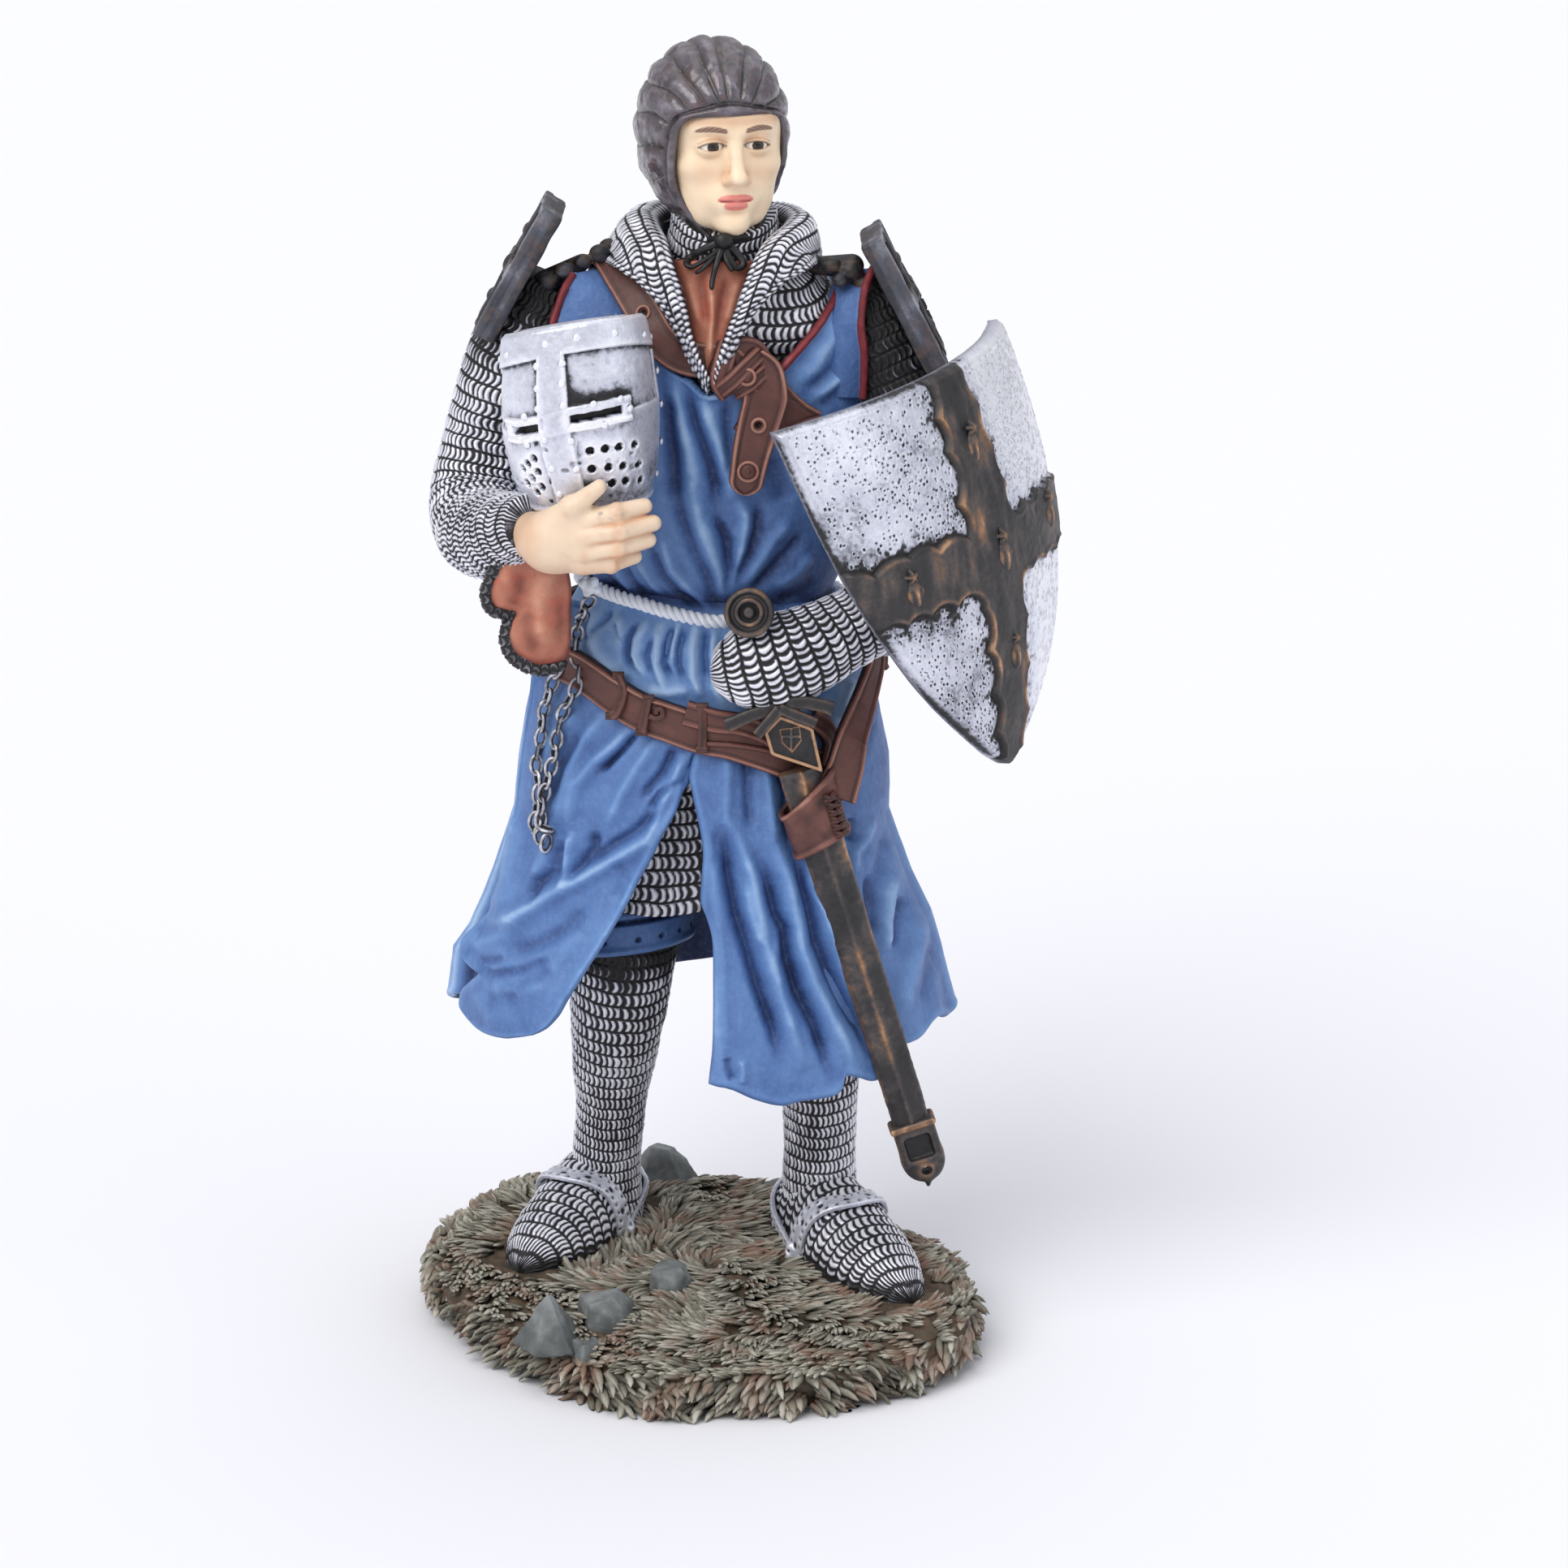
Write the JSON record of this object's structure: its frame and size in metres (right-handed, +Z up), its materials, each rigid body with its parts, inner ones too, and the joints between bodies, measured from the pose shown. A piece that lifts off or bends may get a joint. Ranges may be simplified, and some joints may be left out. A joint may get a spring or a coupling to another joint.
{
  "type": "painted miniature figure",
  "caption": "Painted cast-resin figure of a standing knight in mail and blue surcoat, helm under one arm, shield on the other, on a grassy ground base.",
  "frame": {"origin": "middle of the underside of the ground base", "axes": "+Z up, the figure faces -Y, its right arm and helm are on -X and its shield on +X"},
  "size_m": [0.1229, 0.0982, 0.252],
  "materials": {
    "skin_ivory": "ivory flesh paint, matt, on cast resin",
    "mail_silver": "ring relief painted black and dry-brushed silver",
    "armour_silver": "silver paint with a black wash left in the pits",
    "iron_bronze": "black-brown paint dry-brushed with copper bronze on the edges",
    "surcoat_blue": "mid blue paint, lighter on the fold ridges and darker in the folds",
    "trim_red": "dark red painted edging",
    "leather_brown": "red-brown paint with dark recesses and rubbed edges",
    "undershirt_orange": "terracotta orange paint, washed paler and darker",
    "rope_white": "white paint with a blue-grey wash between the strands",
    "cap_umber": "satin black-brown paint",
    "chain_gunmetal": "black paint dry-brushed with silver and bronze",
    "ground_olive": "olive grass relief with rust-brown earth showing between",
    "stone_grey": "grey stone paint with pale edges",
    "steel_rod": "plain steel rod inside the casting"
  },
  "bodies": {
    "root": {"leg_pins": "steel_rod", "neck_peg": "steel_rod", "shield_peg": "steel_rod", "sword_pommel": "iron_bronze", "sword_grip": "iron_bronze", "crossguard": "iron_bronze", "scabbard_locket": "iron_bronze", "scabbard": "iron_bronze", "scabbard_chape": "iron_bronze", "scabbard_frog": "leather_brown", "shield_cross": "iron_bronze", "shield_board": "armour_silver", "shield_studs": "iron_bronze", "helm_brow_band": "armour_silver", "helm_cross": "armour_silver", "great_helm": "armour_silver", "helm_rivets": "armour_silver", "right_hand": "skin_ivory", "head": "skin_ivory", "arming_cap": "cap_umber", "cap_tie": "cap_umber", "undershirt": "undershirt_orange", "mail_collar": "mail_silver", "neck_mail": "mail_silver", "baldric_buckle": "leather_brown", "baldric_tongue": "leather_brown", "baldric": "leather_brown", "baldric_end": "leather_brown", "belt_bars": "leather_brown", "sword_belt": "leather_brown", "belt_hanger": "leather_brown", "waist_cord": "rope_white", "right_mitten_flap": "undershirt_orange", "right_mitten_edge": "mail_silver", "right_sleeve": "mail_silver", "left_mitten": "mail_silver", "left_sleeve": "mail_silver", "right_ailette": "iron_bronze", "left_ailette": "iron_bronze", "shoulder_points": "iron_bronze", "surcoat_trim": "trim_red", "surcoat_bodice": "surcoat_blue", "hauberk_torso": "mail_silver", "right_spur_strap": "armour_silver", "left_spur_strap": "armour_silver", "right_foot": "mail_silver", "left_foot": "mail_silver", "right_leg": "mail_silver", "left_leg": "mail_silver", "right_cuisse": "surcoat_blue", "hauberk_skirt": "mail_silver", "skirt_front_right": "surcoat_blue", "skirt_front_left": "surcoat_blue", "skirt_back": "surcoat_blue", "surcoat_blouse": "surcoat_blue", "hip_chain": "chain_gunmetal", "base_rocks": "stone_grey", "base_ground": "ground_olive"}
  },
  "joints": []
}
